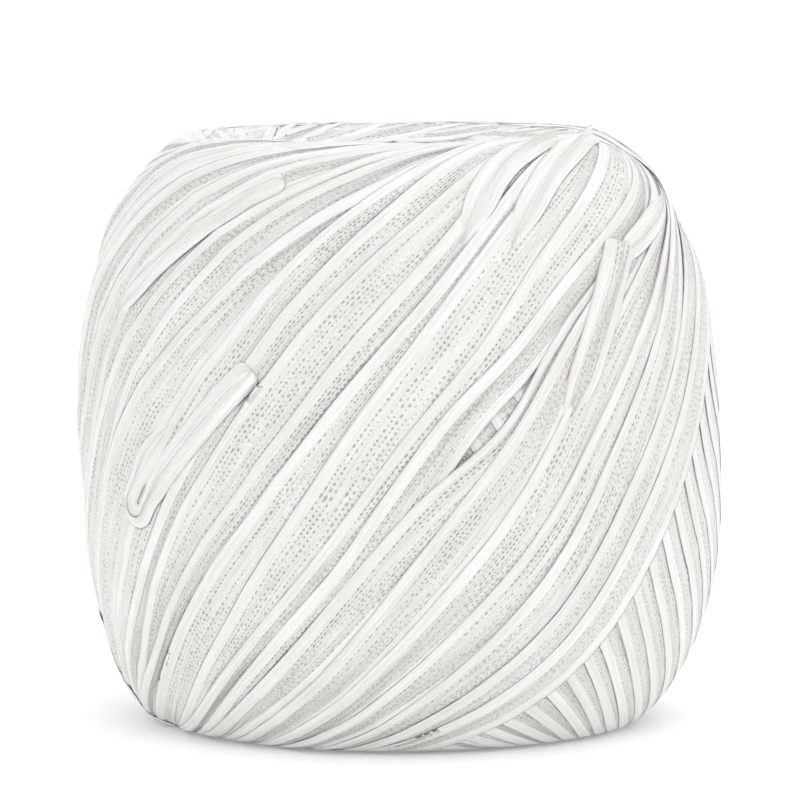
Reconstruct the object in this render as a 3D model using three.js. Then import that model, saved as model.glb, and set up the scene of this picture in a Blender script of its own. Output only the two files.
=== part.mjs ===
// A cross-wound ball of ribbon yarn, standing on one flattened end.
// Millimetres, +Z up, origin at the centre of the base.
// The ribbon is laid in flat turns round the ball's centre. Each turn is tilted to the axis, and each lies a
// step further round the axis than the turn before. Strands that climb as they go round cross strands that
// fall, and the younger of the two lies on top.
import * as THREE from "three";

// Driving sizes
const WIDTH = 100; // across the middle of the ball
const HEIGHT = 92; // standing, over both ends
const RIM_RADIUS = 29.5; // of the crest round each hollowed end
const SHOULDER_POWER = 2.3; // 2 gives a round shoulder, more a squarer one
const PRESSED_FLAT = 1.4; // how far the lower end is squashed by its own weight

// The winding
const TURN_TILT = 55.5; // degrees between a turn's plane and the level
const LAST_TURN_AZIMUTH = 58; // degrees from the front to where the last turn climbs through the middle
const STRANDS = 50; // turns laid in one trip round the axis
const GROWTH = 3; // what one trip round the axis adds to the radius
const VALLEY_DEPTH = 1.4; // between two neighbouring strands at the middle
const VALLEY_FADE = 0.8; // how quickly the valleys close towards the rims, where the strands crowd together
const FOLDED_SHARE = 0.35; // how much a folded strand stands out beyond a flat one, as a share of that depth
const FOLD_TURN = { strand: 2.4, shoulder: 0.9, climb: 3 }; // radians by which the folds shift

// The hollow in each end: radius of each ring, and how far it lies below the crest
const END_RINGS = [
  { radius: RIM_RADIUS, depth: 0, points: 75 },
  { radius: 26, depth: 1.2, points: 75 },
  { radius: 21, depth: 4.2, points: 75 },
  { radius: 14, depth: 8, points: 25 },
  { radius: 7, depth: 10.6, points: 25 },
];
const END_DEPTH = 11.5;

// How closely the surface is modelled
const COLUMNS_PER_STRAND = 3; // a valley and the two shoulders of a strand
const STEPS_PER_TURN = 62;
const RIM_STEP = 2; // the length of the last step before each rim, in ordinary steps
const LIFT_FADE = { start: 40, end: 68 }; // degrees along a turn over which the last turns' step dies out

// Slow drift of the strands to the side, which crowds them in some places and spreads them in others
const DRIFTS = [
  { degrees: 1.7, waves: 3, climb: 1, phase: 40 },
  { degrees: 1, waves: 5, climb: -2, phase: 200 },
  { degrees: 0.4, waves: 8, climb: 3, phase: 310 },
];
const DRIFT_FADE = 0.5; // the share of the middle's spacing below which the drift dies out

// Folds, lumps and gaps in the top layer: azimuth from the front in degrees, height in mm, how far the
// surface is raised in mm, and the reach along and across the strand in mm
const FEATURES = [
  { name: "standing fold", azimuth: -26, height: 59, raise: 1.8, along: 10, across: 3.5 },
  { name: "wide ribbon below the fold", azimuth: -42, height: 48, raise: 0.7, along: 16, across: 4.5 },
  { name: "dark valley beside the fold", azimuth: -22, height: 66, raise: -1.6, along: 16, across: 2.2 },
  { name: "fold tip at the top", azimuth: -24, height: 84, raise: 1.2, along: 7, across: 4 },
  { name: "folded sleeve", azimuth: 42, height: 76, raise: 1.6, along: 8, across: 4.5 },
  { name: "corner lump", azimuth: 55, height: 87, raise: 2, along: 8, across: 6 },
  { name: "lump on the rim", azimuth: 31, height: 86, raise: 1, along: 7, across: 7 },
  { name: "looped edge", azimuth: -54, height: 38, raise: 1.1, along: 8, across: 3 },
  { name: "gap that shows the layer beneath", azimuth: 15, height: 52, raise: -2.2, along: 10, across: 2.6 },
  { name: "slumped shoulder at right", azimuth: 87, height: 78, raise: -3.3, along: 19, across: 19 },
  { name: "full lower side at right", azimuth: 86, height: 24, raise: 1.7, along: 28, across: 24 },
  { name: "full upper side at left", azimuth: -86, height: 66, raise: 1, along: 24, across: 20 },
];

const { degToRad: radians, smoothstep } = THREE.MathUtils;
const HALF_HEIGHT = (HEIGHT + PRESSED_FLAT) / 2;
const MIDDLE = HEIGHT - HALF_HEIGHT;
const CREST_SPREAD = WIDTH / 2 - RIM_RADIUS;
const TILT = radians(TURN_TILT);
const YARN = { name: "wound_ball", color: 0xeeebe6, roughness: 0.55, metalness: 0 };

const bell = (distance, reach) => Math.exp(-((distance / reach) ** 2));

// Distance from the ball's centre to its surface, at an elevation up to the turns' tilt
function surfaceRadius(elevation) {
  const slope = Math.tan(Math.abs(elevation));
  let inside = RIM_RADIUS;
  let outside = WIDTH / 2;
  for (let halving = 0; halving < 40; halving += 1) {
    const radius = (inside + outside) / 2;
    const across = (radius - RIM_RADIUS) / CREST_SPREAD;
    const up = (radius * slope) / HALF_HEIGHT;
    const beyond = across ** SHOULDER_POWER + up ** SHOULDER_POWER > 1;
    if (beyond) outside = radius;
    else inside = radius;
  }
  return inside / Math.cos(elevation);
}

// How far apart the strands run at an elevation: 1 at the middle, 0 at the rim where they turn back
function strandSpacing(elevation) {
  const open = Math.cos(elevation) ** 2 - Math.cos(TILT) ** 2;
  return Math.sqrt(Math.max(0, open)) / Math.sin(TILT);
}

// Sideways shift of the strands at one place, in degrees of azimuth. It dies out where they crowd together.
function drift(azimuth, elevation) {
  let shift = 0;
  for (const { degrees, waves, climb, phase } of DRIFTS) {
    shift += degrees * Math.sin(waves * azimuth + climb * elevation + radians(phase));
  }
  return shift * smoothstep(strandSpacing(elevation), 0, DRIFT_FADE);
}

// A point measured from the ball's centre, as it lies when the ball stands and presses its lower end flat
function standing(point) {
  point.z = Math.max(0, point.z + MIDDLE);
  return point;
}

// How far the folds, lumps and gaps raise the surface at a point, for a strand that climbs (1) or falls (-1)
function featureRaise(point, azimuth, elevation, climbs) {
  const lean = Math.acos(Math.min(1, Math.cos(TILT) / Math.cos(elevation))) * climbs;
  let raise = 0;
  for (const feature of FEATURES) {
    const turned = azimuth - radians(feature.azimuth);
    const sideways = Math.atan2(Math.sin(turned), Math.cos(turned)) * Math.hypot(point.x, point.y);
    const upward = point.z - (feature.height - MIDDLE);
    const along = sideways * Math.cos(lean) + upward * Math.sin(lean);
    const across = upward * Math.cos(lean) - sideways * Math.sin(lean);
    raise += feature.raise * bell(along, feature.along) * bell(across, feature.across);
  }
  return raise;
}

// Depth of the surface below a strand's top: a valley column lies low, and a folded strand stands out
function strandProfile(column, elevation) {
  const depth = -VALLEY_DEPTH * strandSpacing(elevation) ** VALLEY_FADE;
  const strand = Math.floor(column / COLUMNS_PER_STRAND);
  const shoulder = column % COLUMNS_PER_STRAND;
  if (shoulder === 0) return depth;
  const turned = strand * FOLD_TURN.strand + shoulder * FOLD_TURN.shoulder;
  const folded = Math.sin(turned + elevation * (FOLD_TURN.climb + (strand % 3)));
  return depth * FOLDED_SHARE * (0.5 - 0.5 * folded);
}

// The yarn laid since a place was last crossed: the younger a strand and the one beneath it, the higher
// they lie. The difference dies out towards the rims, where all turns meet.
function laidHeight(age, along) {
  const ageBeneath = age + Math.PI - 2 * along;
  const trips = (age + ageBeneath) / (2 * Math.PI);
  const nearRim = smoothstep(Math.abs(along), radians(LIFT_FADE.start), radians(LIFT_FADE.end));
  return (GROWTH / 2) * (1 - trips) * (1 - nearRim);
}

// A point on the top layer. The age is how far the winding has gone round the axis since that strand was
// laid, and the angle along the turn is 0 at the middle of the ball. A falling strand is a climbing one
// turned over through the ball's centre.
function layerPoint(column, age, along, climbs) {
  const elevation = Math.atan(Math.tan(TILT) * Math.sin(along)) * climbs;
  const start = radians(LAST_TURN_AZIMUTH) + (climbs > 0 ? 0 : Math.PI);
  const straight = start - age + along;
  const azimuth = straight + radians(drift(straight, elevation));
  const level = new THREE.Vector3(Math.sin(azimuth), -Math.cos(azimuth), 0);
  const outward = level.multiplyScalar(Math.cos(elevation)).setZ(Math.sin(elevation));
  const point = outward.clone().multiplyScalar(surfaceRadius(elevation));
  const relief = strandProfile(column, elevation) + featureRaise(point, azimuth, elevation, climbs);
  return standing(point.addScaledVector(outward, laidHeight(age, along) + relief));
}

// Rows across the strands, evenly spaced along a turn but for a longer step at each rim. Row n starts where
// n strands of the layer show.
function rowStrands() {
  const rows = new Set([0, STRANDS]);
  const half = STEPS_PER_TURN / 4;
  for (let step = RIM_STEP - half; step <= half - RIM_STEP; step += 1) {
    const angle = (step / half) * (Math.PI / 2);
    const along = Math.atan2(Math.cos(TILT) * Math.sin(angle), Math.cos(angle));
    rows.add(Math.round((along / Math.PI + 0.5) * STRANDS));
  }
  return [...rows].sort((left, right) => left - right);
}

// Points and faces of the closed skin, collected row by row
class Skin {
  points = [];
  faces = [];

  add(point) {
    this.points.push(point.x, point.y, point.z);
    return this.points.length / 3 - 1;
  }

  face(corners, turnedOver) {
    this.faces.push(...(turnedOver ? corners : corners.reverse()));
  }

  // A strip between two rows. Each near point meets its partner in the far row, and the far points between
  // two partners fan out from the near one.
  strip(near, far, partnerOf, turnedOver) {
    let reached = 0;
    near.forEach((corner, index) => {
      if (index > 0) this.face([near[index - 1], corner, far[reached]], turnedOver);
      const partner = index === near.length - 1 ? far.length - 1 : partnerOf(index);
      while (reached < partner) {
        this.face([corner, far[reached + 1], far[reached]], turnedOver);
        reached += 1;
      }
    });
  }

  geometry() {
    const geometry = new THREE.BufferGeometry();
    geometry.setAttribute("position", new THREE.Float32BufferAttribute(this.points, 3));
    geometry.setIndex(this.faces);
    geometry.computeVertexNormals();
    return geometry;
  }
}

// The point where a row ends, at the foot of the last turn's free edge
function rowEnd(skin, strands, climbs) {
  const age = (2 * Math.PI * strands) / STRANDS;
  return skin.add(layerPoint(strands * COLUMNS_PER_STRAND, age, age / 2 - Math.PI / 2, climbs));
}

// One layer of strands from its first point to the full ring at the far end. It starts and ends along the
// last turn, where it shares its points with the other layer.
function windLayer(skin, rows, ownEnds, otherEnds, climbs) {
  const turnedOver = climbs < 0;
  let below = null;
  rows.forEach((strands, row) => {
    const along = (Math.PI * strands) / STRANDS - Math.PI / 2;
    const line = [otherEnds[rows.length - 1 - row]];
    for (let column = 1; column < strands * COLUMNS_PER_STRAND; column += 1) {
      const age = (2 * Math.PI * column) / (STRANDS * COLUMNS_PER_STRAND);
      line.push(skin.add(layerPoint(column, age, along, climbs)));
    }
    if (strands > 0) line.push(ownEnds[row]);
    if (below) skin.strip(below, line, (index) => index, turnedOver);
    below = line;
  });
  return below;
}

// The hollow in an end, ring by ring inward from the ring where the turns run level
function closeEnd(skin, outerRing, climbs) {
  const first = radians(LAST_TURN_AZIMUTH) + (climbs > 0 ? 0 : Math.PI) + Math.PI / 2;
  const place = (radius, depth, turn) => {
    const azimuth = first - turn * 2 * Math.PI;
    const height = (HALF_HEIGHT - depth) * climbs;
    const point = new THREE.Vector3(radius * Math.sin(azimuth), -radius * Math.cos(azimuth), height);
    const outward = point.clone().normalize();
    return standing(point.addScaledVector(outward, featureRaise(point, azimuth, TILT * climbs, climbs)));
  };
  let outer = outerRing;
  for (const { radius, depth, points } of END_RINGS) {
    const ring = [];
    for (let index = 0; index < points; index += 1) {
      ring.push(skin.add(place(radius, depth, index / points)));
    }
    ring.push(ring[0]);
    const ratio = (outer.length - 1) / points;
    skin.strip(outer, ring, (index) => Math.round(index / ratio), climbs < 0);
    outer = ring;
  }
  const centre = skin.add(place(0, END_DEPTH, 0));
  skin.strip(outer, [centre], () => 0, climbs < 0);
}

function woundBall() {
  const skin = new Skin();
  const rows = rowStrands();
  const climbing = rows.map((strands) => (strands > 0 ? rowEnd(skin, strands, 1) : null));
  const falling = rows.map((strands) => (strands > 0 ? rowEnd(skin, strands, -1) : null));
  climbing[0] = falling.at(-1);
  falling[0] = climbing.at(-1);
  closeEnd(skin, windLayer(skin, rows, climbing, falling, 1), 1);
  closeEnd(skin, windLayer(skin, rows, falling, climbing, -1), -1);
  const { name, ...finish } = YARN;
  const ball = new THREE.Mesh(skin.geometry(), new THREE.MeshStandardMaterial(finish));
  ball.name = name;
  return ball;
}

const object = new THREE.Group();
object.add(woundBall());

export default object;
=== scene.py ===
"""A cross-wound ball of white ribbon yarn, standing on one end.

The ribbon is laid turn by turn, oldest first, on a height map of the ball's surface, so each turn rests
on what lies beneath it. Lengths are in millimetres until a mesh is made, and heights are from the ball's
middle. An age is how far the winding has gone round the axis since a turn was laid. A place along a turn
is measured from where the turn passes the ball's middle. Both are in degrees in the tables.
"""
import math
from collections import namedtuple

import bpy
import numpy as np
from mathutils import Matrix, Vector


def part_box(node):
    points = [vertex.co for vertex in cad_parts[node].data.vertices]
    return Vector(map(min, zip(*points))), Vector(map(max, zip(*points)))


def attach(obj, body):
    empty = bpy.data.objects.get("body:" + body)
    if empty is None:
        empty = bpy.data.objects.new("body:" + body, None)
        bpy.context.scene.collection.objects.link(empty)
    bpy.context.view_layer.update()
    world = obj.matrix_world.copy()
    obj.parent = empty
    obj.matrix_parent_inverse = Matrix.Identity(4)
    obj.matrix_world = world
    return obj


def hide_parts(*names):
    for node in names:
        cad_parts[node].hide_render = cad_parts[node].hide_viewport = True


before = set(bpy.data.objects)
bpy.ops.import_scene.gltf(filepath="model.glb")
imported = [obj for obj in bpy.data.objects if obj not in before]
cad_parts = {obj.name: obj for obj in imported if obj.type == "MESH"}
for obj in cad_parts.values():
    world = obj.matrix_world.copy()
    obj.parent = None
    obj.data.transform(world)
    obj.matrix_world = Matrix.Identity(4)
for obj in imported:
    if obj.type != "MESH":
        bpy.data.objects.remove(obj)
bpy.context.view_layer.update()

MM = 0.001
BODY = "root"
NODE = "wound_ball"
FULL_TURN = 2 * math.pi

# The ball: its width and height from the frame, and the form and winding that the solid shows. The yarn
# grows by GROWTH with each trip round the axis, and that dies out towards the rims, along LIFT_FADE.
cad_low, cad_high = (np.array(corner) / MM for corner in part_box(NODE))
WIDTH, HEIGHT = np.round((cad_high - cad_low)[1:])
RIM_RADIUS = 0.295 * WIDTH
SHOULDER_POWER = 2.3
PRESSED_FLAT = 1.4
TURN_TILT = math.radians(55.5)
LAST_TURN_AZIMUTH = math.radians(58)
TURNS_PER_TRIP = 50
GROWTH = 3.0
LIFT_FADE = np.radians((40, 68))
HALF_HEIGHT = (HEIGHT + PRESSED_FLAT) / 2
MIDDLE = HEIGHT - HALF_HEIGHT

# The hollow in each end: radius, and how far it lies below the rim
END_PROFILE = [(26.0, 1.2), (21.0, 4.2), (14.0, 8.0), (7.0, 10.6), (0.0, 11.5)]

# The ribbon, laid out flat
RIBBON_WIDTH = 10.0
RIBBON_THICKNESS = 0.15
SATIN_WIDTH = 2.0
MESH_HALF = RIBBON_WIDTH / 2 - SATIN_WIDTH

# Distance between neighbouring strands at the ball's middle
PITCH = FULL_TURN * WIDTH / 2 / TURNS_PER_TRIP * math.sin(TURN_TILT)

# The turns that are modelled, the share of the last one that is laid, the share of a turn by which each
# starts before the ball's middle, how closely they are modelled, and the mean length of a step
TURNS = 54
LAST_TURN_LAID = 0.69
RIM_TO_MIDDLE = 0.25
STEPS_PER_TURN = 280
STEP = 1.05
TURNS_PER_PIECE = 11

# Sideways drift that all strands share: degrees, waves round the ball, waves up it, phase in degrees. It
# dies out where the strands crowd closer than a share of their spacing at the middle.
DRIFTS = [(1.7, 3, 1, 40), (1.0, 5, -2, 200), (0.4, 8, 3, 310)]
DRIFT_FADE = 0.5
DRIFT_PROBE = math.radians(1)

# Broad forms: azimuth in degrees, height, how far they stand out, and their reach
BROAD_FORMS = [
    ("slumped shoulder at right", 87, 38, -2.8, 11),
    ("worn corner at upper left", -82, 44, -1.3, 9),
    ("full lower side at right", 86, -21.3, 1.7, 26),
    ("full upper side at left", -86, 20.7, 0.5, 20),
    ("corner lump", 55, 41.7, 1.2, 7),
    ("lump on the rim", 31, 40.7, 0.7, 7),
]

# Places where neighbouring strands part: age, place along the turn and reach along it, how far each side
# is pushed, and how much narrower each becomes
PARTINGS = [
    ("gap that shows the layer beneath", 47.5, 4, 7.5, 2.6, 0.5),
    ("slit below the gap", 58, -14, 6, 1.2, 0.2),
    ("dark valley beside the fold tip", 123, 43, 10, 1.0, 0.2),
    ("slit at lower left", 88, -30, 9, 1.0, 0.2),
]
PARTING_AGES = 9
PARTING_EDGE = 2

# Places where the strands gather: age, place along the turn, reach in each, and how much closer they run
GATHERS = [
    ("corner at upper right", 23, 40, 27, 20, 0.62),
]

# The last falling strands at lower left have slid towards the rim: how far, the place along the turn, its
# reach, the reach in age, and the places between which the slide dies out at the rim
HUGGED_RIM = 3.5
HUG_PLACE = -58
HUG_REACH = 26
HUG_AGES = 130
HUG_FADE = (-90, -66)

# Slack ribbon that lies doubled: age and height at its lower and upper ends, half its width, what share of
# that its upper end keeps, how far it stands up, whether its lower end loops back and its upper end is a
# blunt fold, the age of the youngest turn beneath it, and whether only satin shows
Fold = namedtuple("Fold", "name ages heights half tip raised loops blunt over satin")
FOLDS = [
    Fold("looped fold", (99.5, 95.5), (-9, 13.7), 2.5, 1, 0.9, True, True, 94, True),
    Fold("fold tip", (134, 127.5), (16, 41.4), 2.5, 0.6, 1.1, False, True, 125, True),
    Fold("ribbon out of the sleeve", (41, 25), (25, 39), 1.8, 1, 0.5, False, False, 24, True),
    Fold("sleeve", (33, 40.5), (2, 31.8), 2.9, 0.9, 1.2, False, True, 24, False),
    Fold("corner knob", (65, 71), (28, 46.35), 2.3, 0.8, 2.0, False, True, 60, True),
    Fold("rim knob", (77, 87), (29, 46.35), 2.5, 0.65, 1.8, False, True, 76, True),
]

# How a fold runs: its step, how its age quickens towards the upper end, the length over which it comes
# out from between its neighbours, how sunk and narrow it starts, and how long and narrow its blunt end is
FOLD_STEP = 0.7
FOLD_BEND = 1.5
FOLD_TAPER = 13.0
FOLD_SUNK = 0.9
FOLD_NARROW = 0.1
BLUNT_END = 1.6
BLUNT_NARROW = 0.25

# Its form: lengths over which it narrows and rises towards its tip, the share of its height that it has
# before that and how much of it the whole width shares, how far its edges are rolled, and its creases
NARROWS_TO_TIP = (12, 1)
RISES_TO_TIP = (14, 2)
FOLD_LOW = 0.45
FOLD_ROUNDED = 0.6
FOLD_ROLLED = 0.5
FOLD_CREASE = 0.2
CREASE_WAVES = 6
CREASE_SHIFT = 2.0
CREASE_WANDER = 20

# The loop: its radius, how long its second leg is as a share of the first, how much narrower the ribbon is
# in it, and the reach of that
LOOP_RADIUS = 2.1
LOOP_LEG = 0.62
LOOP_NARROWS = 0.4
LOOP_PINCH = 3.5

# Turns that show in each hollowed end: how near the axis they pass, and how many there are
END_TURNS = [(4, 7), (11, 13), (18, 20), (24.5, 27)]

# How they run: length of a step, how far past the rim, and how unevenly spaced, from the axis and as a
# share of their spacing round it
END_STEP = 1.7
END_BEYOND_RIM = 2
END_UNEVEN = 1
END_UNEVEN_ROUND = 0.2

# Their form: half their width and its spread, its limits, how far they puff up and the spread of that,
# the waves of both, and how far along the ribbon each starts after the one before
END_HALF = (2.7, 0.6)
END_HALF_LIMITS = (1.8, 4)
END_PUFF = (0.1, 0.2)
END_WAVE = 30
END_PUFF_WAVE = 20
END_OFFSET = 37.0

# The core of older turns, round its axis and from end to end
CORE_COLUMNS = 120
CORE_ROWS = 90

rng = np.random.default_rng(7241)


def smoothstep(low, high, value):
    x = np.clip((value - low) / (high - low), 0, 1)
    return x * x * (3 - 2 * x)


def bell(distance, reach):
    return np.exp(-((distance / reach) ** 2))


def wrapped(angle):
    return np.arctan2(np.sin(angle), np.cos(angle))


def noise_along(length, wave, step=STEP):
    """Smooth random values along a length of ribbon, of about unit spread."""
    knots = rng.standard_normal(int(length * step / wave) + 5)
    place = np.arange(length) * step / wave + 1
    first = place.astype(int)
    t = place - first
    a, b, c, d = (knots[first + shift] for shift in (-1, 0, 1, 2))
    return b + 0.5 * t * (c - a + t * (2 * a - 5 * b + 4 * c - d + t * (3 * (b - c) + d - a)))


def drift(azimuth, elevation):
    total = 0
    for degrees, waves, climb, phase in DRIFTS:
        wave = np.sin(waves * azimuth + climb * elevation + math.radians(phase))
        total = total + math.radians(degrees) * wave
    return total * smoothstep(0, DRIFT_FADE, crowding(elevation))


def drift_spread(azimuth, elevation):
    """How much farther apart than even the drift sets neighbouring strands, as a share."""
    ahead, behind = (drift(azimuth + side * DRIFT_PROBE, elevation) for side in (1, -1))
    return (ahead - behind) / (2 * DRIFT_PROBE)


def along_turn(elevation):
    """How far along its turn a climbing strand has come at an elevation, from the ball's middle."""
    return np.arcsin(np.clip(np.tan(elevation) / math.tan(TURN_TILT), -1, 1))


def crowding(elevation):
    """How far apart the strands run: 1 at the middle, 0 at the rims, where they turn back."""
    level = np.maximum(np.cos(elevation) ** 2 - math.cos(TURN_TILT) ** 2, 0)
    return np.sqrt(level) / math.sin(TURN_TILT)


def laid_height(azimuth, elevation):
    """How far the yarn stands above its mean: the younger the top two layers at a place, the higher."""
    along = along_turn(elevation)
    climbing = (LAST_TURN_AZIMUTH + along - azimuth) % FULL_TURN
    falling = (LAST_TURN_AZIMUTH + math.pi - along - azimuth) % FULL_TURN
    near_rim = smoothstep(*LIFT_FADE, np.abs(along))
    return GROWTH / 2 * (1 - (climbing + falling) / FULL_TURN) * (1 - near_rim)


def broad_form(azimuth, radius, level):
    total = 0
    for _, degrees, height, raise_by, reach in BROAD_FORMS:
        sideways = wrapped(azimuth - math.radians(degrees)) * radius
        total = total + raise_by * bell(np.hypot(sideways, level - height), reach)
    return total


class Surface:
    """The ball's surface, charted by azimuth and by distance along its meridian from the top's centre."""

    AROUND = 720
    CELL = 0.45
    PROFILE_POINTS = 400
    PROFILE_SMOOTHED = 5
    MEAN_SMOOTHED = 15
    OPEN = (0.25, 0.6)

    def __init__(self):
        angle = np.linspace(math.pi / 2, -math.pi / 2, self.PROFILE_POINTS)
        power = 2 / SHOULDER_POWER
        spread = WIDTH / 2 - RIM_RADIUS
        radius = RIM_RADIUS + spread * np.cos(angle) ** power
        height = HALF_HEIGHT * np.sign(angle) * np.abs(np.sin(angle)) ** power
        end_radius = np.array([r for r, _ in END_PROFILE])
        end_height = HALF_HEIGHT - np.array([depth for _, depth in END_PROFILE])
        radius = np.concatenate([end_radius[::-1], radius, end_radius])
        height = np.concatenate([end_height[::-1], height, -end_height])
        distance = np.concatenate([[0], np.cumsum(np.hypot(np.diff(radius), np.diff(height)))])
        self.length = distance[-1]
        self.rows = int(self.length / self.CELL)
        self.even = np.linspace(0, self.length, self.rows)
        self.radius = self.smoothed(np.interp(self.even, distance, radius), self.PROFILE_SMOOTHED)
        self.height = self.smoothed(np.interp(self.even, distance, height), self.PROFILE_SMOOTHED)
        self.radius[[0, -1]] = 0
        slope_r = np.gradient(self.radius, self.even)
        slope_z = np.gradient(self.height, self.even)
        size = np.hypot(slope_r, slope_z)
        self.out_r = -slope_z / size
        self.out_z = slope_r / size
        self.elevation = np.arctan2(self.height, self.radius)
        around = np.arange(self.AROUND) / self.AROUND * FULL_TURN
        self.map = laid_height(around[:, None], self.elevation[None, :])
        self.open = smoothstep(*self.OPEN, crowding(self.elevation))
        self.mean = np.zeros(self.rows)
        self.relief = np.ones(self.rows)

    @staticmethod
    def smoothed(values, count):
        padded = np.pad(values, count // 2, mode="edge")
        return np.convolve(padded, np.ones(count) / count, mode="valid")

    def at(self, table, distance):
        return np.interp(distance, self.even, table)

    def distance_of(self, elevation):
        return np.interp(-elevation, -self.elevation, self.even)

    def elevation_at(self, height):
        """Elevation of a height on the barrel between the two rims."""
        barrel = self.radius >= RIM_RADIUS
        return np.interp(height, self.height[barrel][::-1], self.elevation[barrel][::-1])

    def distance_in_end(self, radius):
        """Distance from the top's centre, over the hollow and the rim, to a radius."""
        upper = self.rows // 2
        return np.interp(radius, self.radius[:upper], self.even[:upper])

    def cell(self, azimuth, distance):
        around = (azimuth / FULL_TURN % 1) * self.AROUND
        along = np.clip(distance / self.length, 0, 1) * (self.rows - 1)
        return around, along

    def crests(self):
        """The height map with each cell raised to the highest of its neighbours, but not at the rims."""
        sides = np.maximum(np.roll(self.map, 1, axis=0), np.roll(self.map, -1, axis=0))
        around = np.maximum(self.map, sides)
        crests = around.copy()
        crests[:, 1:] = np.maximum(crests[:, 1:], around[:, :-1])
        crests[:, :-1] = np.maximum(crests[:, :-1], around[:, 1:])
        return self.map + (crests - self.map) * self.open

    def lift(self, azimuth, distance):
        """Height of what lies at a place, read between the cells."""
        around, along = self.cell(azimuth, distance)
        crests = self.crests()
        a0, b0 = np.floor(around).astype(int), np.minimum(along.astype(int), self.rows - 2)
        fa, fb = around - a0, along - b0
        a1 = (a0 + 1) % self.AROUND
        a0 = a0 % self.AROUND
        low = crests[a0, b0] * (1 - fa) + crests[a1, b0] * fa
        high = crests[a0, b0 + 1] * (1 - fa) + crests[a1, b0 + 1] * fa
        return low * (1 - fb) + high * fb

    def pile(self, azimuth, distance, height):
        around, along = self.cell(azimuth, distance)
        cells = (np.rint(around).astype(int) % self.AROUND) * self.rows + np.rint(along).astype(int)
        np.maximum.at(self.map.reshape(-1), cells.ravel(), height.ravel())

    def settle(self):
        """Sinks the finished layers by their mean height, and presses them flatter towards the rims."""
        self.mean = self.smoothed(self.map.mean(axis=0), self.MEAN_SMOOTHED)
        self.relief = (1 + crowding(self.elevation)) / 2

    def place(self, azimuth, distance, height):
        """Position in the frame of a point at a height above the core."""
        radius = self.at(self.radius, distance)
        level = self.at(self.height, distance)
        raised = (height - self.at(self.mean, distance)) * self.at(self.relief, distance)
        raised = raised + broad_form(azimuth, radius, level)
        radius = np.maximum(radius + self.at(self.out_r, distance) * raised, 0)
        level = level + self.at(self.out_z, distance) * raised + MIDDLE
        # What would lie lower than 1 mm is pressed flat on the floor
        pressed = np.where(level < 1, np.exp(np.minimum(level, 1) - 1), level)
        return np.stack([radius * np.sin(azimuth), -radius * np.cos(azimuth), pressed], axis=-1)


surface = Surface()


class Path:
    """A ribbon's middle line on the surface, with the chart direction across it."""

    def __init__(self, azimuth, distance):
        self.azimuth = azimuth
        self.distance = distance
        radius = np.maximum(surface.at(surface.radius, distance), 1)
        around = np.gradient(azimuth) * radius
        along = np.gradient(distance)
        step = np.hypot(around, along)
        self.length = np.concatenate([[0], np.cumsum((step[1:] + step[:-1]) / 2)])
        self.across_azimuth = along / step / radius
        self.across_distance = -around / step

    def rows(self, rows):
        part = Path.__new__(Path)
        for name, values in vars(self).items():
            setattr(part, name, values[rows])
        return part

    def beside(self, sideways):
        """Chart places at distances across the path, one row for each step along it."""
        azimuth = self.azimuth[:, None] + sideways * self.across_azimuth[:, None]
        distance = self.distance[:, None] + sideways * self.across_distance[:, None]
        return azimuth, distance


def parted(age, along, climbs):
    """How far strands are pushed aside where their neighbours part, and how much narrower they are."""
    push, narrower = 0, 0
    for _, middle_age, middle, reach, distance, narrowing in PARTINGS:
        beside = np.degrees(age) - middle_age
        near = bell(beside, PARTING_AGES) * bell(np.degrees(along) - middle, reach) * climbs
        push = push + distance * np.tanh(beside / PARTING_EDGE) * near
        narrower = narrower + narrowing * near
    return push, narrower


def gathered(age, along, falls):
    """How far strands are drawn aside, in millimetres, where they gather or hug the rim."""
    place = np.degrees(along)
    hugging = falls * smoothstep(*HUG_FADE, place)
    hugging = hugging * bell(np.degrees(age), HUG_AGES) * bell(place - HUG_PLACE, HUG_REACH)
    pull = -HUGGED_RIM * hugging
    for _, middle_age, middle, age_reach, reach, share in GATHERS:
        beside = np.degrees(age) - middle_age
        near = (1 - falls) * bell(beside, age_reach) * bell(place - middle, reach)
        pull = pull - share * beside / 360 * TURNS_PER_TRIP * PITCH * near
    return pull


# Places across the ribbon: satin edge, mesh, satin edge. -1 and 1 are its two selvedges.
SATIN_SHARE = SATIN_WIDTH / (RIBBON_WIDTH / 2)
INNER = 1 - SATIN_SHARE
ACROSS = np.concatenate(
    [
        np.linspace(-1, -INNER, 7),
        np.linspace(-INNER, INNER, 11)[1:-1],
        np.linspace(INNER, 1, 7),
    ]
)

# The satin edge's tube: its height, what a rolled edge adds to that and takes off its width, and how full
# it is. The mesh's narrowest half, and the heights and waves of its creases: crowded ones, and fine ones.
TUBE_HEIGHT = 0.08
ROLL_HEIGHT = 0.28
ROLL_NARROWS = 0.2
TUBE_FULLNESS = 0.85
MESH_LEAST = 0.15
SLACK_CREASE = 0.2
FINE_CREASE = 0.08
SLACK_WAVES = 2.2 * math.pi
FINE_WAVES = 3 * math.pi

# Random values of about unit spread between which an edge goes from flat to rolled
ROLL_RANGE = (-1.0, 1.2)

# How closely a selvedge follows what lies beneath it, and how much thinner it is than the rest
SELVEDGE_DROOP = 0.8
SELVEDGE_THINNED = 0.8

# How stiffly the ribbon bridges hollows, first and then as it settles, and how soon a join is forgotten
BRIDGED = 4.0
SETTLED = 2.2
JOIN_FADE = 8


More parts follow.
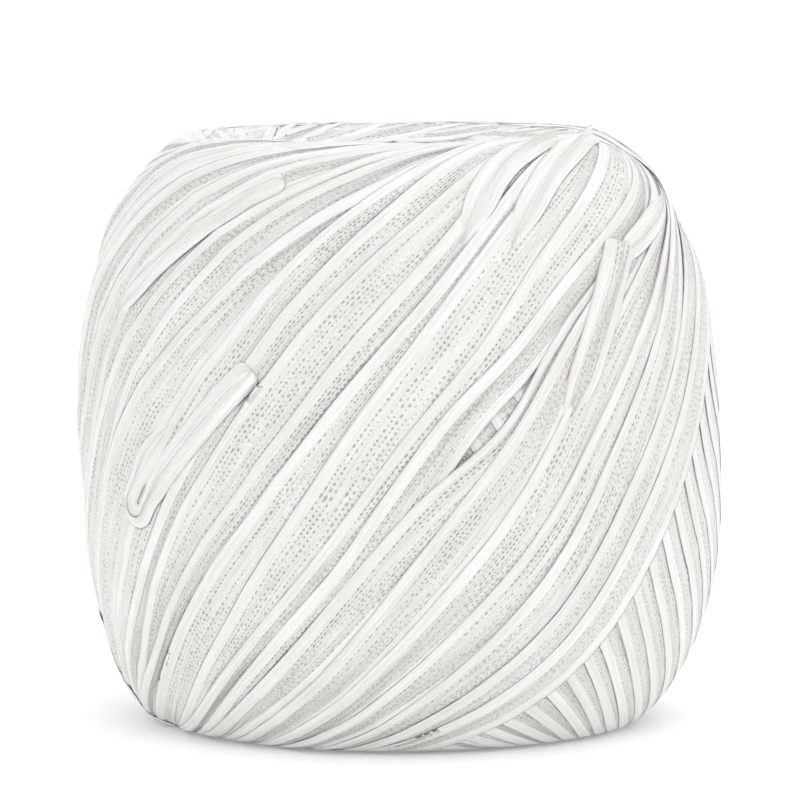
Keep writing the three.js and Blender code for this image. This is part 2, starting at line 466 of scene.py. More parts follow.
def across_ribbon(across, half_width, rolled, puffed, pleated):
    """Sideways place and height of each point across the ribbon, one row for each step along it.

    rolled has a column for each edge. A rolled edge is narrower and stands up as a tube.
    """
    size = np.abs(across)[None, :]
    side = np.sign(across)[None, :]
    roll = np.where(across[None, :] < 0, rolled[:, :1], rolled[:, 1:])
    satin_width = SATIN_WIDTH * (1 - ROLL_NARROWS * roll)
    mesh_half = np.maximum(half_width[:, None] - satin_width, MESH_LEAST)
    in_mesh = np.minimum(size / INNER, 1)
    in_satin = np.clip((size - INNER) / SATIN_SHARE, 0, 1)
    sideways = side * (mesh_half * in_mesh + satin_width * in_satin)
    tube = np.sin(math.pi * in_satin) ** TUBE_FULLNESS
    slack = np.clip(1 - mesh_half / MESH_HALF, 0, 1)
    crown = puffed[:, None] * (1 - in_mesh**2)
    creases = SLACK_CREASE * slack * np.cos(SLACK_WAVES * in_mesh * side + pleated[:, :1])
    creases = creases + FINE_CREASE * np.cos(FINE_WAVES * in_mesh * side + pleated[:, 1:])
    height = (TUBE_HEIGHT + ROLL_HEIGHT * roll) * tube + crown + creases * (1 - in_mesh**4)
    return sideways, height


def smooth_rows(values, reach):
    """Smooths along the path, where the reach is in millimetres."""
    half = max(1, int(3 * reach / STEP))
    weights = np.exp(-0.5 * (np.arange(-half, half + 1) * STEP / reach) ** 2)
    weights /= weights.sum()
    padded = np.pad(values, ((half, half), (0, 0)), mode="edge")
    return np.apply_along_axis(lambda column: np.convolve(column, weights, mode="valid"), 0, padded)


def smooth_across(values):
    padded = np.pad(values, ((0, 0), (1, 1)), mode="edge")
    return 0.25 * padded[:, :-2] + 0.5 * padded[:, 1:-1] + 0.25 * padded[:, 2:]


class Strip:
    """A stretch of ribbon: where each point of its rows lies, its underside's height and its top's.

    shown is where each point across it lies on the ribbon laid out flat.
    """

    # Where the satin that folds show starts, past the mesh
    SATIN_FROM = MESH_HALF + 0.4

    def __init__(self, across, azimuth, distance, rest, top, length):
        self.shown = across * RIBBON_WIDTH / 2
        self.rows = [azimuth, distance, rest, top, length]

    def show_satin(self):
        """Shows satin alone, as where the ribbon is folded up on itself."""
        self.shown = np.linspace(self.SATIN_FROM, RIBBON_WIDTH, len(self.shown))

    def last_rest(self):
        """Heights of the underside in the last row."""
        return self.rows[2][-1]

    def extend(self, strip):
        self.rows = [np.concatenate([mine, more[1:]]) for mine, more in zip(self.rows, strip.rows)]


def lay(path, across, sideways, profile, joined=None, start=0.0, thickness=RIBBON_THICKNESS, sunk=0.0):
    """Rests a stretch of ribbon on what lies beneath it, or sinks it into that.

    Its first row keeps the heights that it is joined to.
    """
    azimuth, distance = path.beside(sideways)
    beneath = smooth_across(surface.lift(azimuth, distance))
    rest = smooth_rows(beneath, BRIDGED)
    for _ in range(2):
        rest = smooth_rows(np.maximum(rest, beneath), SETTLED)
    rest = np.maximum(smooth_across(rest), beneath)
    rest = rest + (beneath - rest) * SELVEDGE_DROOP * across**6
    length = path.length - path.length[0]
    if joined is not None:
        rest = rest + (joined - rest[0]) * np.exp(-length / JOIN_FADE)[:, None]
    rest = rest - sunk
    top = rest + thickness * (1 - SELVEDGE_THINNED * across**8) + profile
    for share in (0, 1 / 3, 2 / 3):
        places = [v[:-1] * (1 - share) + v[1:] * share for v in (azimuth, distance, top)]
        surface.pile(*places)
        surface.pile(*((v[:, 1:] + v[:, :-1]) / 2 for v in places))
    return Strip(across, azimuth, distance, rest, top, length + start)


class Winding:
    """All turns as one path, oldest first, and how the ribbon lies along it."""

    # How far neighbours overlap at least, how far each laps over its neighbour otherwise, and half the
    # ribbon's width where it is narrowest, where it lies flat, and below which its edges roll
    OVERLAP = 0.5
    LAPPED = 1.2
    NARROWEST = 1.9
    FLAT_HALF = 4.0
    ROLLS_BELOW = 3.6

    # How strongly a narrow ribbon tightens into rolls, how far its mesh puffs up, and what tightness adds
    TIGHTENS = 0.7
    PUFFED = 0.12
    TIGHT_PUFF = 0.3

    # What varies along the ribbon: its spread, and its wave in millimetres
    WANDER = (1.45, 90)
    SWERVE = (0.3, 36)
    WIDENS = (0.6, 70)
    ROLL = (1, 50)
    PUFF = (0.2, 32)
    PLEAT = (2.5, 60)

    # How much of its form the ribbon keeps at the rims, where the strands crowd together
    KEPT_AT_RIMS = 0.4
    WANDER_AT_RIMS = 0.35

    # Turns between which the last ones come to lie flat, and the azimuth and reach of the flat falling ones
    LAST_FLAT = (2.2, 0.8)
    FLAT_AZIMUTH = math.radians(70)
    FLAT_REACH = 55

    # How much calmer the ribbon is where it lies flat, and how much less rolled and thick
    FLAT_CALMS = 0.8
    FLAT_THINS = 0.6

    # How soon a change in flatness and in width shows, and lengths of the free end that narrows and that is
    # pressed flat
    FLAT_SMOOTHED = 10
    WIDTH_SMOOTHED = 4
    END_NARROWS = 14
    END_PRESSED = 10

    def __init__(self):
        self.count = round((TURNS - 1 + LAST_TURN_LAID) * STEPS_PER_TURN) + 1
        progress = np.arange(self.count) / STEPS_PER_TURN - RIM_TO_MIDDLE
        angle = progress * FULL_TURN
        self.age = (TURNS - 1 - progress) * FULL_TURN / TURNS_PER_TRIP
        elevation = np.arcsin(math.sin(TURN_TILT) * np.sin(angle))
        swing = np.unwrap(np.arctan2(math.cos(TURN_TILT) * np.sin(angle), np.cos(angle)))
        straight = LAST_TURN_AZIMUTH - self.age + swing
        self.path = Path(straight + drift(straight, elevation), surface.distance_of(elevation))
        self.along = along_turn(elevation)
        self.open = crowding(elevation)
        self.kept = self.KEPT_AT_RIMS + (1 - self.KEPT_AT_RIMS) * self.open
        self.apart = PITCH * self.open * (1 + drift_spread(straight, elevation))
        self.climbing = np.sign(np.cos(angle))
        self.falls = (self.climbing < 0).astype(float)
        self.flat = self.lies_flat()

    def varied(self, spread, wave):
        return spread * noise_along(self.count, wave)

    def lies_flat(self):
        """1 where the ribbon lies flat and even: in the last turns, and in falling ones at lower right."""
        last_turns = smoothstep(*self.LAST_FLAT, self.age * TURNS_PER_TRIP / FULL_TURN)
        beside = np.degrees(wrapped(self.path.azimuth - self.FLAT_AZIMUTH))
        flat = np.maximum(self.falls * bell(beside, self.FLAT_REACH), last_turns)
        return smooth_rows(flat[:, None], self.FLAT_SMOOTHED)[:, 0]

    def aside(self):
        """How far each turn strays from its even place, so that neighbours cross at slight angles."""
        wander = self.varied(*self.WANDER) + self.varied(*self.SWERVE)
        wander = wander * (1 - self.FLAT_CALMS * self.flat)
        wander = wander * (self.WANDER_AT_RIMS + (1 - self.WANDER_AT_RIMS) * self.open)
        return wander + gathered(self.age, self.along, self.falls)

    def half_width(self, aside):
        """Half the ribbon's width: narrow where neighbours crowd it, and wide enough to close on them."""
        older, younger = slice(0, -STEPS_PER_TURN), slice(STEPS_PER_TURN, None)
        apart = self.apart[older] + (aside[older] - aside[younger]) * self.climbing[older]
        room = np.full(self.count, PITCH)
        room[older] = apart
        room[younger] = (room[younger] + apart) / 2
        half = room / 2 + self.LAPPED + self.varied(*self.WIDENS)
        half = half * (1 - self.flat) + self.FLAT_HALF * self.flat * self.kept
        half = np.clip(half, self.NARROWEST, RIBBON_WIDTH / 2)
        short = apart + self.OVERLAP - half[older] - half[younger]
        wider = half.copy()
        for side in (older, younger):
            wider[side] = np.maximum(wider[side], half[side] + short / 2)
        smooth = smooth_rows(wider[:, None], self.WIDTH_SMOOTHED)[:, 0]
        return np.minimum(smooth, RIBBON_WIDTH / 2)

    def ribbon(self):
        """Sideways place and height of every point across the ribbon, and its thickness."""
        aside = self.aside()
        half = self.half_width(aside)
        push, narrower = parted(self.age, self.along, 1 - self.falls)
        to_end = self.path.length[-1] - self.path.length
        half = (half - narrower) * (1 + smoothstep(0, self.END_NARROWS, to_end)) / 2
        tighter = self.TIGHTENS * (self.ROLLS_BELOW - half)
        rolls = [smoothstep(*ROLL_RANGE, self.varied(*self.ROLL) + tighter) for _ in range(2)]
        rolled = np.stack(rolls, axis=1) * (1 - self.FLAT_THINS * self.flat[:, None])
        puffed = self.PUFFED + self.varied(*self.PUFF) + self.TIGHT_PUFF * np.clip(tighter, 0, 1)
        puffed = puffed * (1 - self.FLAT_CALMS * self.flat)
        pleated = np.stack([self.varied(*self.PLEAT) for _ in range(2)], axis=1)
        sideways, profile = across_ribbon(ACROSS, half, rolled, puffed, pleated)
        pressed = self.kept * (1 - self.FLAT_CALMS * self.flat)
        pressed = pressed * smoothstep(0, self.END_PRESSED, to_end)
        thickness = RIBBON_THICKNESS * self.kept * (1 - self.FLAT_THINS * self.flat)
        return sideways + (aside + push)[:, None], profile * pressed[:, None], thickness[:, None]


def wind():
    """Lays every turn, and each slack fold after the turn that runs beneath it."""
    winding = Winding()
    sideways, profile, thickness = winding.ribbon()
    turns, folds = [], []
    joined = None
    for turn in range(TURNS):
        rows = slice(turn * STEPS_PER_TURN, (turn + 1) * STEPS_PER_TURN + 1)
        path = winding.path.rows(rows)
        start = path.length[0]
        strip = lay(path, ACROSS, sideways[rows], profile[rows], joined, start, thickness[rows])
        joined = strip.last_rest()
        turns.append(strip)
        folds.extend(lay_fold(fold) for fold in FOLDS if turn_beneath(fold) == turn)
    return turns, folds


def turn_beneath(fold):
    """The turn after which a fold is laid."""
    return TURNS - 1 - int(fold.over / 360 * TURNS_PER_TRIP)


def fold_guide(fold):
    """The line that a fold follows, from its lower end to its upper one."""
    heights = np.linspace(*fold.heights, 200)
    lowest, uppermost = np.radians(fold.ages)
    ages = lowest + (uppermost - lowest) * np.linspace(0, 1, len(heights)) ** FOLD_BEND
    elevation = surface.elevation_at(heights)
    straight = LAST_TURN_AZIMUTH - ages + along_turn(elevation)
    return Path(straight + drift(straight, elevation), surface.distance_of(elevation))


def fold_line(guide, loops):
    """Distances along a guide and beside it. A looped line comes down beside it, turns and follows it."""
    full = guide.length[-1]
    last = np.linspace(full - BLUNT_END, full, 9)
    along = np.concatenate([np.arange(0, full - BLUNT_END, FOLD_STEP), last])
    if not loops:
        return along, 0 * along
    down = np.arange(LOOP_LEG * full, 0, -FOLD_STEP)
    bend = np.linspace(0, math.pi, 12)[:-1]
    beside = np.concatenate([0 * down + 2 * LOOP_RADIUS, LOOP_RADIUS * (1 + np.cos(bend)), 0 * along])
    return np.concatenate([down, -LOOP_RADIUS * np.sin(bend), along]), beside


def fold_path(guide, along, aside):
    """A fold's path, from distances along its guide and beside it."""
    before = np.minimum(along, 0) / guide.length[1]
    lines = (guide.azimuth, guide.across_azimuth), (guide.distance, guide.across_distance)
    places = []
    for line, across in lines:
        place = np.interp(along, guide.length, line)
        place = place + aside * np.interp(along, guide.length, across)
        places.append(place + before * (line[1] - line[0]))
    return Path(*places)


def fold_ends(fold, path):
    """How far a fold has come out from between its neighbours, and how full its rounded tip is."""
    to_end = path.length[-1] - path.length
    comes_out = smoothstep(0, FOLD_TAPER, path.length)
    if not fold.blunt:
        return comes_out * smoothstep(0, FOLD_TAPER, to_end), np.ones(len(to_end))
    inward = 1 - np.minimum(to_end / BLUNT_END, 1)
    return comes_out, np.sqrt(np.clip(1 - inward**2, 0.01, 1))


def lay_fold(fold):
    """Lays slack ribbon, which comes out from between its neighbours and may end in a blunt fold."""
    guide = fold_guide(fold)
    along, aside = fold_line(guide, fold.loops)
    path = fold_path(guide, along, aside)
    comes_out, rounded = fold_ends(fold, path)
    rows = len(along)
    to_end = path.length[-1] - path.length
    turned = bell(along, LOOP_PINCH) if fold.loops else 0 * along
    narrowed = 1 - (1 - fold.tip) * smoothstep(*NARROWS_TO_TIP, to_end)
    half = fold.half * narrowed * (1 - LOOP_NARROWS * turned)
    standing = fold.raised * (FOLD_LOW + (1 - FOLD_LOW) * smoothstep(*RISES_TO_TIP, to_end))
    shifts = [CREASE_SHIFT * noise_along(rows, CREASE_WANDER, FOLD_STEP) for _ in range(2)]
    pleated = np.stack(shifts, axis=1)
    rolled = np.full((rows, 2), FOLD_ROLLED)
    sideways, profile = across_ribbon(ACROSS, half, rolled, standing, pleated)
    width = FOLD_NARROW + (1 - FOLD_NARROW) * comes_out
    width = width * (BLUNT_NARROW + (1 - BLUNT_NARROW) * rounded)
    creases = FOLD_CREASE * np.cos(CREASE_WAVES * ACROSS[None, :] + pleated[:, :1])
    fullness = standing[:, None] * FOLD_ROUNDED + creases
    profile = profile + fullness * (1 - ACROSS**4)[None, :]
    profile = profile * (comes_out * rounded)[:, None]
    thickness = RIBBON_THICKNESS * rounded[:, None]
    sunk = FOLD_SUNK * (1 - comes_out)[:, None]
    sideways = sideways * width[:, None]
    strip = lay(path, ACROSS, sideways, profile, thickness=thickness, sunk=sunk)
    if fold.satin:
        strip.show_satin()
    return strip


def end_turn_path(nearest, number, count, upper):
    """A turn that crosses a hollowed end, straight when seen along the axis."""
    half_length = math.sqrt((RIM_RADIUS + END_BEYOND_RIM) ** 2 - nearest**2)
    along = np.arange(-half_length, half_length, END_STEP)
    radius = np.hypot(along, nearest + rng.uniform(-END_UNEVEN, END_UNEVEN))
    uneven = rng.uniform(-END_UNEVEN_ROUND, END_UNEVEN_ROUND)
    turned = (number + uneven) / count * FULL_TURN
    azimuth = np.arctan2(along, nearest) + turned
    distance = surface.distance_in_end(radius)
    return Path(azimuth, distance if upper else surface.length - distance)


def lay_end_turns(upper):
    """The older turns that cross one hollowed end."""
    across = ACROSS[::2]
    strips = []
    for nearest, count in END_TURNS:
        for number in range(count):
            path = end_turn_path(nearest, number, count, upper)
            form = end_turn_form(across, len(path.azimuth))
            strips.append(lay(path, across, *form, start=END_OFFSET * number))
    return strips


def end_turn_form(across, rows):
    """Sideways place and height of every point across a turn that crosses an end."""
    middle, spread = END_HALF
    half = middle + spread * noise_along(rows, END_WAVE, END_STEP)
    rolls = [smoothstep(*ROLL_RANGE, noise_along(rows, END_WAVE, END_STEP)) for _ in range(2)]
    middle, spread = END_PUFF
    puffed = middle + spread * noise_along(rows, END_PUFF_WAVE, END_STEP)
    rolled = np.stack(rolls, axis=1)
    return across_ribbon(across, np.clip(half, *END_HALF_LIMITS), rolled, puffed, np.zeros((rows, 2)))


def strip_mesh(strip, first):
    """Points, quads, end caps and ribbon coordinates of one closed strip."""
    azimuth, distance, rest, top, length = strip.rows
    last = len(strip.shown) - 1
    beneath = np.linspace(last, 0, 5).astype(int)[1:-1]
    ring_u = np.concatenate([strip.shown, strip.shown[beneath]])
    upper = surface.place(azimuth, distance, top)
    lower = surface.place(azimuth[:, beneath], distance[:, beneath], rest[:, beneath])
    ring = np.concatenate([upper, lower], axis=1)
    rows, around = ring.shape[:2]
    corner = first + np.arange(rows * around).reshape(rows, around)
    after = np.roll(corner, -1, axis=1)
    quads = np.stack([corner[:-1], after[:-1], after[1:], corner[1:]], axis=-1).reshape(-1, 4)
    caps = [corner[0][::-1], corner[-1]]
    u = np.broadcast_to(ring_u, (rows, around))
    v = np.broadcast_to(length[:, None], (rows, around))
    return ring.reshape(-1, 3), quads, caps, np.stack([u, v], axis=-1).reshape(-1, 2)


def ribbon_mesh(name, strips):
    """One mesh of closed strips of ribbon."""
    points, quads, caps, places = [], [], [], []
    first = 0
    for strip in strips:
        strip_points, strip_quads, strip_caps, strip_places = strip_mesh(strip, first)
        points.append(strip_points)
        quads.append(strip_quads)
        caps.extend(strip_caps)
        places.append(strip_places)
        first += len(strip_points)
    quads = np.concatenate(quads)
    corners = np.concatenate([quads.ravel(), *caps])
    sizes = np.concatenate([np.full(len(quads), 4), [len(cap) for cap in caps]])
    starts = np.concatenate([[0], np.cumsum(sizes)[:-1]])
    mesh = bpy.data.meshes.new(name)
    mesh.vertices.add(first)
    mesh.vertices.foreach_set("co", (np.concatenate(points) * MM).astype(np.float32).ravel())
    mesh.loops.add(len(corners))
    mesh.loops.foreach_set("vertex_index", corners.astype(np.int32))
    mesh.polygons.add(len(sizes))
    mesh.polygons.foreach_set("loop_start", starts.astype(np.int32))
    layer = mesh.uv_layers.new(name="ribbon")
    layer.uv.foreach_set("vector", np.concatenate(places)[corners].astype(np.float32).ravel())
    mesh.update(calc_edges=True)
    mesh.polygons.foreach_set("use_smooth", np.ones(len(sizes), dtype=bool))
    return bpy.data.objects.new(name, mesh)


def core_piece():
    """The older yarn beneath the turns that are modelled, as one closed form."""
    around = np.linspace(0, FULL_TURN, CORE_COLUMNS, endpoint=False)
    distance = np.linspace(0, surface.length, CORE_ROWS)[1:-1]
    azimuth, along = np.meshgrid(around, distance, indexing="ij")
    elevation = surface.at(surface.elevation, along)
    points = surface.place(azimuth, along, laid_height(azimuth, elevation))
    rows, columns = along.shape
    corner = np.arange(rows * columns).reshape(rows, columns)
    after = np.roll(corner, -1, axis=0)
    sides = [corner[:, :-1], corner[:, 1:], after[:, 1:], after[:, :-1]]
    quads = np.stack(sides, axis=-1).reshape(-1, 4)
    ends = [corner[:, 0][::-1].tolist(), corner[:, -1].tolist()]
    mesh = bpy.data.meshes.new("older_turns")
    mesh.from_pydata((points.reshape(-1, 3) * MM).tolist(), [], quads.tolist() + ends)
    layer = mesh.uv_layers.new(name="ribbon")
    flat = np.stack([azimuth * WIDTH / 2, along], axis=-1).reshape(-1, 2)
    index = np.zeros(len(mesh.loops), dtype=np.int32)
    mesh.loops.foreach_get("vertex_index", index)
    layer.uv.foreach_set("vector", flat[index].astype(np.float32).ravel())
    return bpy.data.objects.new("older_turns", mesh)


class Nodes:
    """Short calls for a material's node tree."""

    def __init__(self, name):
        self.material = bpy.data.materials.new(name)
        self.material.use_nodes = True
        self.tree = self.material.node_tree
        self.tree.nodes.clear()

    def add(self, kind, **settings):
        node = self.tree.nodes.new(kind)
        for key, value in settings.items():
            setattr(node, key, value)
        return node

    def set(self, socket, value):
        if isinstance(value, bpy.types.NodeSocket):
            self.tree.links.new(value, socket)
        else:
            socket.default_value = value

    def math(self, operation, first, second=0.0, third=0.0):
        node = self.add("ShaderNodeMath", operation=operation)
        for socket, value in zip(node.inputs, (first, second, third)):
            self.set(socket, value)
        return node.outputs[0]

    def ramp(self, value, low, high, start=0.0, end=1.0):
        node = self.add("ShaderNodeMapRange", interpolation_type="SMOOTHSTEP")
        for socket, number in zip(node.inputs, (value, low, high, start, end)):
            self.set(socket, number)
        return node.outputs[0]

    def blend(self, share, first, second):
        node = self.add("ShaderNodeMix", data_type="RGBA")
        self.set(node.inputs[0], share)
        self.set(node.inputs[6], first)
        self.set(node.inputs[7], second)
        return node.outputs[2]

    def scaled(self, u, v, u_scale, v_scale):
        where = self.add("ShaderNodeCombineXYZ")
        self.set(where.inputs[0], self.math("MULTIPLY", u, u_scale))
        self.set(where.inputs[1], self.math("MULTIPLY", v, v_scale))
        return where.outputs[0]

    def noise(self, u, v, u_scale, v_scale, detail=2.0):
        texture = self.add("ShaderNodeTexNoise", noise_dimensions="2D")
        self.set(texture.inputs["Vector"], self.scaled(u, v, u_scale, v_scale))
        texture.inputs["Scale"].default_value = 1.0
        texture.inputs["Detail"].default_value = detail
        return texture.outputs["Fac"]


# How far the mesh and the satin blend, to either side
MESH_BLEND = 0.08

# Pinholes in the mesh: distance between rows and between the holes of a row, their radius across the ribbon
# where the mesh is most open, what a distance along it counts for, and how far their rims are blurred
ROW_PITCH = 0.78
HOLE_PITCH = 1.0
HOLE_RADIUS = 0.15
ALONG_COUNTS = 0.6
HOLE_RIM = (-0.08, 0.07)

# Distances from the satin between which the row beside it starts, which is open where others close
BORDER_ROW = (0.7, 0.5)

# Glitter: cells to a millimetre across the ribbon and along it, random values between which a cell comes
# to hold a fleck, distances between which the fleck ends, and how much of it shows on satin
GLITTER_CELLS = (3.4, 2.1)
GLITTER_CHOSEN = (0.88, 0.9)
GLITTER_REACH = (0.42, 0.25)
GLITTER_ON_SATIN = 0.15

# Knitted threads and stitches of the mesh: their pitch and height
KNIT_THREADS = (0.41, 0.14)
KNIT_STITCHES = (0.61, 0.06)

# Fine patterns of the whole ribbon: repeats to a millimetre across it and along it, levels of finer detail,
# the values between which it turns grey and how grey it gets, and its height
PATTERNS = [
    ("patches", 0.2, 0.025, 2.0, 0.38, 0.65, 0.3, 0.0),
    ("threads", 4.2, 0.1, 3.0, 0.46, 0.66, 0.4, 0.6),
    ("streaks", 1.6, 0.035, 3.0, 0.5, 0.68, 0.4, 2.2),
    ("crinkle", 0.9, 0.4, 2.0, 0.0, 1.0, 0.0, 1.0),
]

# Depth of a pinhole in metres, and the highest fleck's height. All heights are shares of that depth.
HOLE_DEPTH = 0.00015
FLECK_HEIGHT = 0.8

# Colours, and how far a pinhole and a fleck take on theirs
SATIN_WHITE = (0.93, 0.922, 0.908, 1)
# Painted shade: the mesh's white is greyer than the satin's, standing for the shaded layers seen through
# its openwork
MESH_WHITE_WITH_PAINTED_SHADE = (0.89, 0.878, 0.86, 1)
WARM_GREY = (0.74, 0.72, 0.69, 1)
# Painted shade: the dark colour in a pinhole stands for the shaded layers seen through it
PAINTED_SHADE_IN_HOLE = (0.32, 0.3, 0.27, 1)
GLITTER_WHITE = (0.98, 0.975, 0.96, 1)
HOLE_SHADE = 0.65
FLECK_SHADE = 0.7

# How the ribbon reflects light
SATIN_ROUGHNESS = 0.34
MESH_ROUGHER = 0.2
FLECK_SMOOTHER = 0.25
FLECK_METALLIC = 0.6


def from_hole(nodes, u, v):
    """Distance from the nearest pinhole's centre, its row's number and its own number in the row."""
    row = nodes.math("ADD", nodes.math("DIVIDE", u, ROW_PITCH), 0.5)
    row_number = nodes.math("ROUND", row)
    off_row = nodes.math("MULTIPLY", nodes.math("SUBTRACT", row, row_number), ROW_PITCH)
    wobble = nodes.math("MULTIPLY", nodes.noise(row_number, v, 7.3, 0.16), 3.0)
    shifted = nodes.math("ADD", nodes.math("MULTIPLY", row_number, 0.5), wobble)
    hole_place = nodes.math("ADD", nodes.math("DIVIDE", v, HOLE_PITCH), shifted)
    hole_number = nodes.math("ROUND", hole_place)
    off_hole = nodes.math("SUBTRACT", hole_place, hole_number)
    off_hole = nodes.math("MULTIPLY", off_hole, HOLE_PITCH * ALONG_COUNTS)
    squares = [nodes.math("POWER", off, 2.0) for off in (off_row, off_hole)]
    return nodes.math("SQRT", nodes.math("ADD", *squares)), row_number, hole_number


def pinholes(nodes, u, v, mesh):
    """Rows of pinholes along the mesh, clearest beside the satin edges, and closed up here and there."""
    away, row_number, hole_number = from_hole(nodes, u, v)
    start, end = (MESH_HALF - beside for beside in BORDER_ROW)
    border = nodes.ramp(nodes.math("ABSOLUTE", u), start, end)
    border = nodes.math("MULTIPLY", border, nodes.ramp(nodes.noise(u, v, 0.3, 0.06), 0.35, 0.55))
    openness = nodes.ramp(nodes.noise(u, v, 0.6, 0.05), 0.3, 0.6)
    openness = nodes.math("MAXIMUM", openness, nodes.math("MULTIPLY", border, 0.9))
    uneven = nodes.noise(row_number, hole_number, 3.1, 0.77, 0.0)
    openness = nodes.math("MULTIPLY", openness, nodes.ramp(uneven, 0.2, 0.7, 0.45, 1.15))
    inside = nodes.math("SUBTRACT", away, nodes.math("MULTIPLY", openness, HOLE_RADIUS))
    hole = nodes.math("SUBTRACT", 1.0, nodes.ramp(inside, *HOLE_RIM))
    hole = nodes.math("MULTIPLY", hole, nodes.ramp(openness, 0.1, 0.5))
    return nodes.math("MULTIPLY", hole, mesh)


def glitter(nodes, u, v, mesh):
    """Scattered bright flecks, mostly on the mesh, and a random value for each."""
    cells = nodes.add("ShaderNodeTexVoronoi", voronoi_dimensions="2D")
    nodes.set(cells.inputs["Vector"], nodes.scaled(u, v, *GLITTER_CELLS))
    cells.inputs["Scale"].default_value = 1.0
    colour = nodes.add("ShaderNodeSeparateXYZ")
    nodes.set(colour.inputs[0], cells.outputs["Color"])
    chosen = nodes.ramp(colour.outputs[0], *GLITTER_CHOSEN)
    fleck = nodes.math("MULTIPLY", chosen, nodes.ramp(cells.outputs["Distance"], *GLITTER_REACH))
    shown = nodes.math("MULTIPLY", mesh, 1 - GLITTER_ON_SATIN)
    fleck = nodes.math("MULTIPLY", fleck, nodes.math("ADD", shown, GLITTER_ON_SATIN))
    return fleck, colour.outputs[1]


def knit(nodes, u, v, mesh):
    """Relief of the mesh's knitted threads and stitches."""
    total = 0.0
    for place, (pitch, height) in ((u, KNIT_THREADS), (v, KNIT_STITCHES)):
        wave = nodes.math("SINE", nodes.math("MULTIPLY", place, FULL_TURN / pitch))
        total = nodes.math("MULTIPLY_ADD", wave, height, total)
    return nodes.math("MULTIPLY", total, mesh)


def ribbon_material():
    """Satin edges, an openwork mesh with rows of pinholes between them, and flecks of glitter."""
    nodes = Nodes("ribbon_yarn")
    where = nodes.add("ShaderNodeUVMap", uv_map="ribbon")
    parts = nodes.add("ShaderNodeSeparateXYZ")
    nodes.set(parts.inputs[0], where.outputs[0])
    u, v = parts.outputs[0], parts.outputs[1]
    aside = nodes.math("ABSOLUTE", u)
    mesh = nodes.ramp(aside, MESH_HALF - MESH_BLEND, MESH_HALF + MESH_BLEND, 1.0, 0.0)
    hole = pinholes(nodes, u, v, mesh)
    fleck, fleck_height = glitter(nodes, u, v, mesh)

    # The mesh takes a greyer white than the satin: painted shade of the layers seen through it
    base = nodes.blend(mesh, SATIN_WHITE, MESH_WHITE_WITH_PAINTED_SHADE)
    relief = knit(nodes, u, v, mesh)
    for _, across, along, detail, low, high, greyed, height in PATTERNS:
        value = nodes.noise(u, v, across, along, detail)
        base = nodes.blend(nodes.ramp(value, low, high, 0.0, greyed), base, WARM_GREY)
        relief = nodes.math("MULTIPLY_ADD", value, height, relief)
    # Painted shade in the pinholes, standing for the shaded layers beneath seen through them
    base = nodes.blend(nodes.math("MULTIPLY", hole, HOLE_SHADE), base, PAINTED_SHADE_IN_HOLE)
    base = nodes.blend(nodes.math("MULTIPLY", fleck, FLECK_SHADE), base, GLITTER_WHITE)

    relief = nodes.math("SUBTRACT", relief, hole)
    fleck_rise = nodes.math("MULTIPLY", fleck, fleck_height)
    relief = nodes.math("MULTIPLY_ADD", fleck_rise, FLECK_HEIGHT, relief)
    rough = nodes.math("MULTIPLY_ADD", mesh, MESH_ROUGHER, SATIN_ROUGHNESS)
    rough = nodes.math("MULTIPLY_ADD", fleck, -FLECK_SMOOTHER, rough)
    ribbon_shader(nodes, base, relief, rough, nodes.math("MULTIPLY", fleck, FLECK_METALLIC))
    return nodes.material


def ribbon_shader(nodes, base, relief, rough, metallic):
    bump = nodes.add("ShaderNodeBump")
    bump.inputs["Strength"].default_value = 0.9
    bump.inputs["Distance"].default_value = HOLE_DEPTH
    nodes.set(bump.inputs["Height"], relief)
    shader = nodes.add("ShaderNodeBsdfPrincipled")
    nodes.set(shader.inputs["Base Color"], base)
    nodes.set(shader.inputs["Roughness"], rough)
    nodes.set(shader.inputs["Metallic"], metallic)
    nodes.set(shader.inputs["Normal"], bump.outputs[0])
    shader.inputs["Specular IOR Level"].default_value = 0.5
    shader.inputs["Sheen Weight"].default_value = 0.1
    shader.inputs["Sheen Roughness"].default_value = 0.4
    output = nodes.add("ShaderNodeOutputMaterial")
    nodes.set(output.inputs["Surface"], shader.outputs[0])


def show(piece, material):
    piece.data.materials.append(material)
    bpy.context.collection.objects.link(piece)
    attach(piece, BODY)
    return piece


def camera():
    """The photograph's view. Returns the place that it looks at."""
    scene = bpy.context.scene
    scene.view_settings.view_transform = "Standard"
    elevation = math.radians(6)
    away = 0.9
    target = Vector((0, 0, MIDDLE * MM))
    data = bpy.data.cameras.new("camera")
    view = bpy.data.objects.new("camera", data)
    view.location = target + Vector((0, -math.cos(elevation) * away, math.sin(elevation) * away))
    view.rotation_euler = (math.pi / 2 - elevation, 0, 0)
    # The photograph's width and the row of the ball's middle in it, in pixels, and its scale at the ball
    frame_size = 800
    middle_row = 430.5
    pixels_per_metre = 6400
    data.sensor_width = 36
    data.lens = data.sensor_width * pixels_per_metre * away / frame_size
    data.shift_y = (middle_row - frame_size / 2) / frame_size
    data.clip_start = 0.05
    bpy.context.collection.objects.link(view)
    scene.camera = view
    return target


# The two soft lamps: place, power in watts and width
LAMPS = [
    ("key", (0.15, -0.6, 0.8), 1.6, 0.6),
    ("top", (0.1, 0.1, 1.0), 1.2, 0.8),
]


def lamps(target):
    for name, place, power, size in LAMPS:
        lamp = bpy.data.lights.new(name, "AREA")
        lamp.energy = power
        lamp.size = size
        light = bpy.data.objects.new(name, lamp)
        light.location = place
        light.rotation_euler = (target - Vector(place)).to_track_quat("-Z", "Y").to_euler()
        bpy.context.collection.objects.link(light)


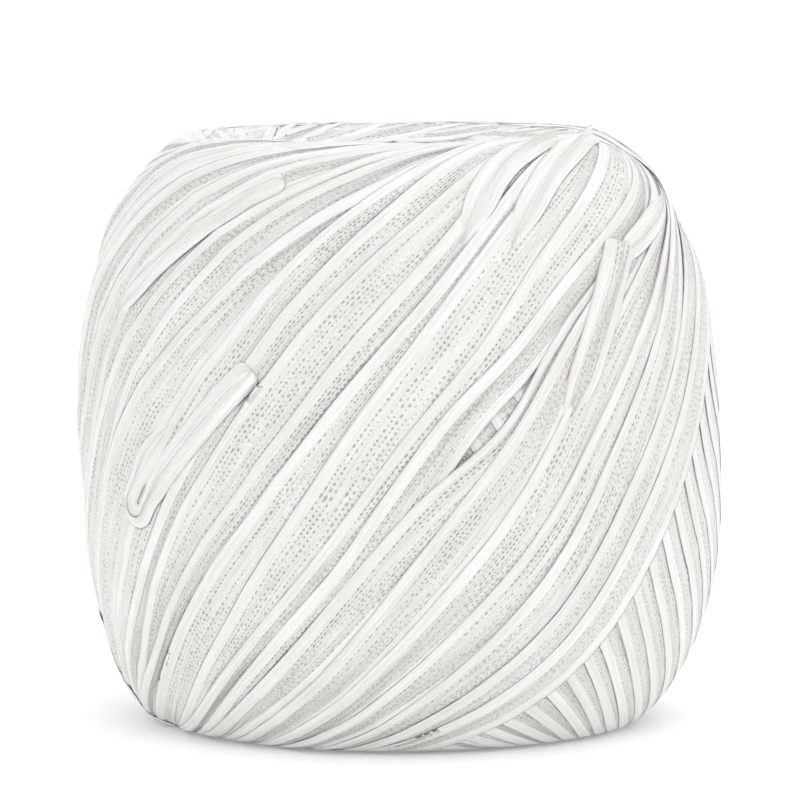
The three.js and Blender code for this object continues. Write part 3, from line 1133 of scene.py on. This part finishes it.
def studio_world():
    """White behind the ball, and a little less light from in front of it."""
    world = bpy.data.worlds.new("studio")
    bpy.context.scene.world = world
    world.use_nodes = True
    tree = world.node_tree
    where = tree.nodes.new("ShaderNodeTexCoord")
    parts = tree.nodes.new("ShaderNodeSeparateXYZ")
    tree.links.new(where.outputs["Generated"], parts.inputs[0])
    ramp = tree.nodes.new("ShaderNodeMapRange")
    tree.links.new(parts.outputs[1], ramp.inputs[0])
    in_front, behind = -0.4, 0.5
    front_light, back_light = 0.82, 1.05
    for socket, number in zip(list(ramp.inputs)[1:], (in_front, behind, front_light, back_light)):
        socket.default_value = number
    background = tree.nodes["Background"]
    background.inputs[0].default_value = (1.0, 1.0, 0.995, 1)
    tree.links.new(ramp.outputs[0], background.inputs[1])


def floor():
    mesh = bpy.data.meshes.new("floor")
    reach = 3.0
    corners = [(-reach, -reach, 0), (reach, -reach, 0), (reach, reach, 0), (-reach, reach, 0)]
    mesh.from_pydata(corners, [], [(0, 1, 2, 3)])
    material = bpy.data.materials.new("floor")
    material.use_nodes = True
    shader = material.node_tree.nodes["Principled BSDF"]
    shader.inputs["Base Color"].default_value = (0.96, 0.96, 0.955, 1)
    shader.inputs["Roughness"].default_value = 1.0
    shader.inputs["Specular IOR Level"].default_value = 0.0
    shader.inputs["Emission Color"].default_value = (1, 1, 1, 1)
    shader.inputs["Emission Strength"].default_value = 0.12
    mesh.materials.append(material)
    piece = bpy.data.objects.new("floor", mesh)
    bpy.context.collection.objects.link(piece)


lamps(camera())
studio_world()
floor()
upper_end = lay_end_turns(True)
lower_end = lay_end_turns(False)
turns, folds = wind()
surface.settle()

material = ribbon_material()
core = show(core_piece(), material)
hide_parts(NODE)
show(ribbon_mesh("upper_end_turns", upper_end), material)
show(ribbon_mesh("lower_end_turns", lower_end), material)
for number, first in enumerate(range(0, TURNS, TURNS_PER_PIECE)):
    stretch = turns[first]
    for turn in turns[first + 1 : first + TURNS_PER_PIECE]:
        stretch.extend(turn)
    show(ribbon_mesh(f"ribbon_{number + 1}", [stretch]), material)
show(ribbon_mesh("slack_folds", folds), material)
